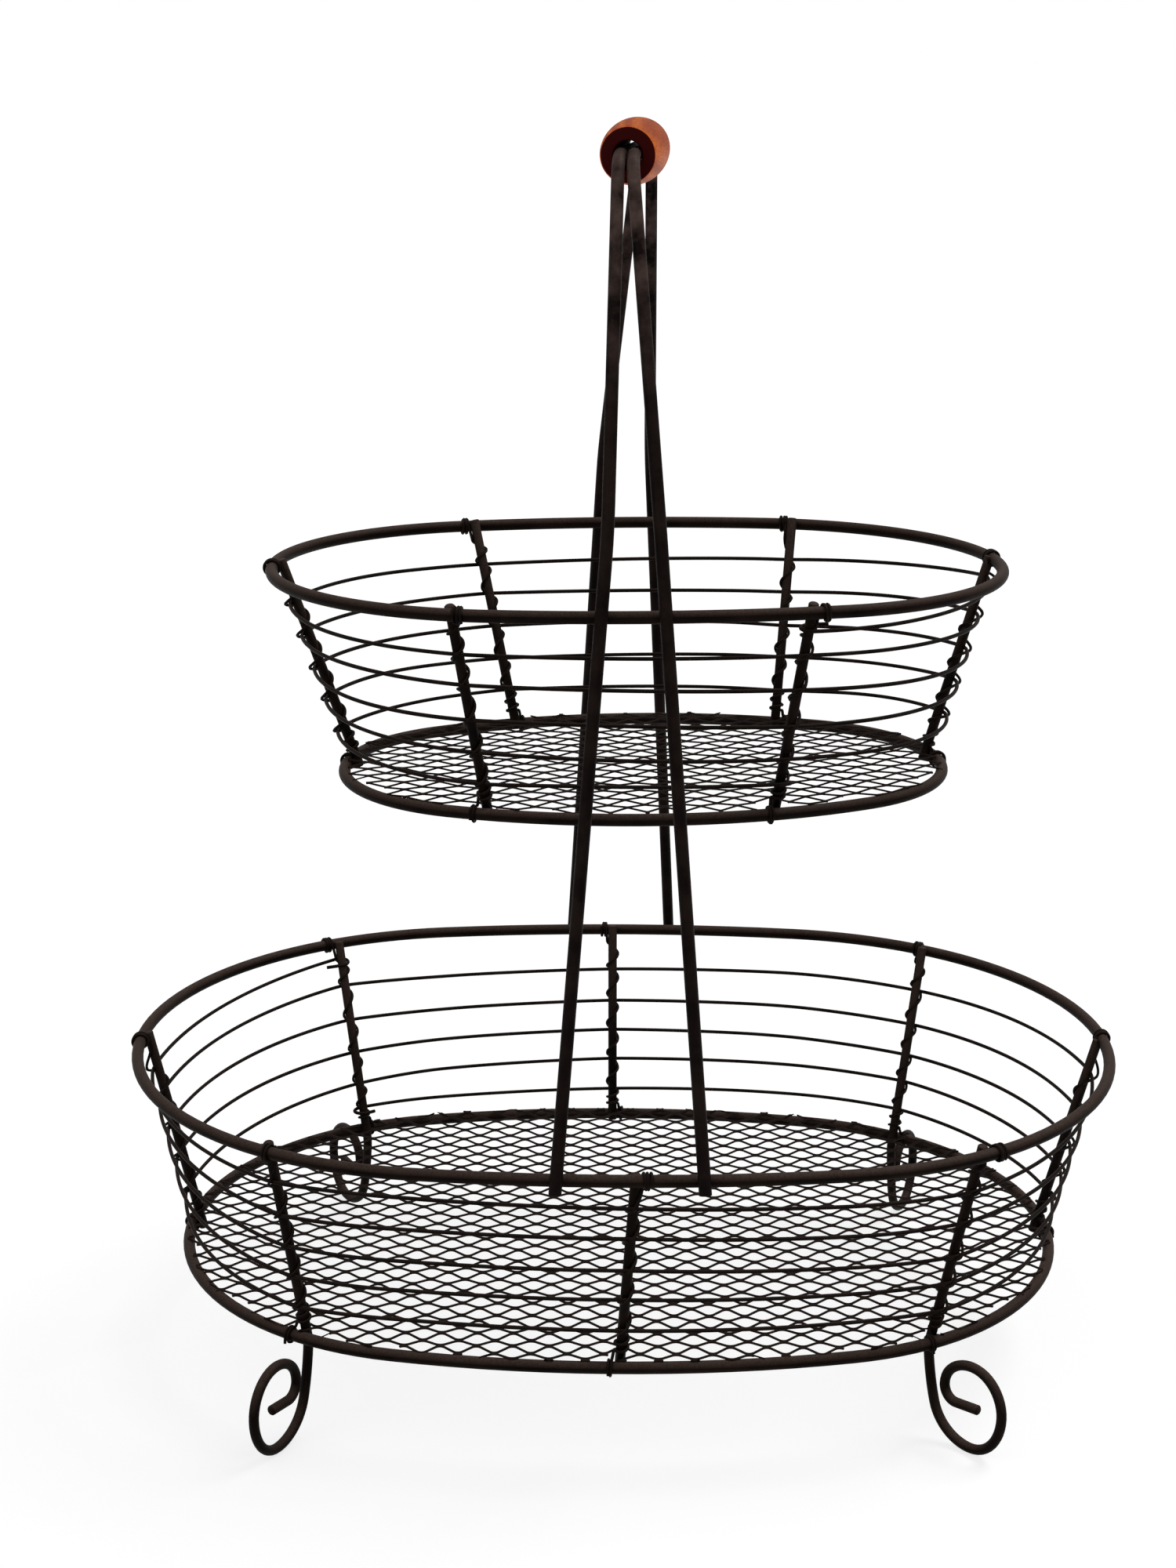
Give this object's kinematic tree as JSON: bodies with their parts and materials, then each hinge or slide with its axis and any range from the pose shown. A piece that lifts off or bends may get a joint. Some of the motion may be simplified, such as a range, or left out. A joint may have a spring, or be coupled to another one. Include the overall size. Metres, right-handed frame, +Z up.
{
  "type": "tiered wire basket",
  "caption": "Two-tier oval wire basket with woven wire walls, expanded-metal floors, scroll feet and a turned wooden grip on two hairpin handle wires.",
  "frame": {"origin": "on the table, under the middle of the whole basket", "axes": "+X along the long way of the lower basket, +Y from the front of the picture's view to the back, +Z up"},
  "size_m": [0.4072, 0.2992, 0.4987],
  "materials": {
    "wire": "satin dark brown paint on steel wire",
    "fine_wire": "satin dark brown paint on thin steel wire",
    "floor": "satin dark brown paint on expanded metal",
    "grip": "orange-brown stained turned wood"
  },
  "bodies": {
    "frame": {"handle_wire_left": "wire", "handle_wire_right": "wire", "lower_base_ring": "wire", "lower_floor_mesh": "floor", "lower_rib_back": "wire", "lower_rib_back_left": "wire", "lower_rib_back_right": "wire", "lower_rib_front": "wire", "lower_rib_front_left": "wire", "lower_rib_front_right": "wire", "lower_rib_left": "wire", "lower_rib_right": "wire", "lower_rim": "wire", "lower_tie_back": "fine_wire", "lower_tie_back_left": "fine_wire", "lower_tie_back_right": "fine_wire", "lower_tie_front": "fine_wire", "lower_tie_front_left": "fine_wire", "lower_tie_front_right": "fine_wire", "lower_tie_left": "fine_wire", "lower_tie_right": "fine_wire", "lower_weave_wire": "fine_wire", "upper_base_ring": "wire", "upper_floor_mesh": "floor", "upper_rib_back_left": "wire", "upper_rib_back_right": "wire", "upper_rib_front_left": "wire", "upper_rib_front_right": "wire", "upper_rib_left": "wire", "upper_rib_right": "wire", "upper_rim": "wire", "upper_tie_back_left": "fine_wire", "upper_tie_back_right": "fine_wire", "upper_tie_front_left": "fine_wire", "upper_tie_front_right": "fine_wire", "upper_tie_left": "fine_wire", "upper_tie_right": "fine_wire", "upper_weave_wire": "fine_wire"},
    "grip": {"handle_grip": "grip"}
  },
  "joints": [
    {"name": "grip_spin", "type": "hinge", "parent": "frame", "child": "grip", "pos_m": [0.0018, 0, 0.4864], "axis": [0.0872, 0.9962, 0], "continuous": true}
  ]
}
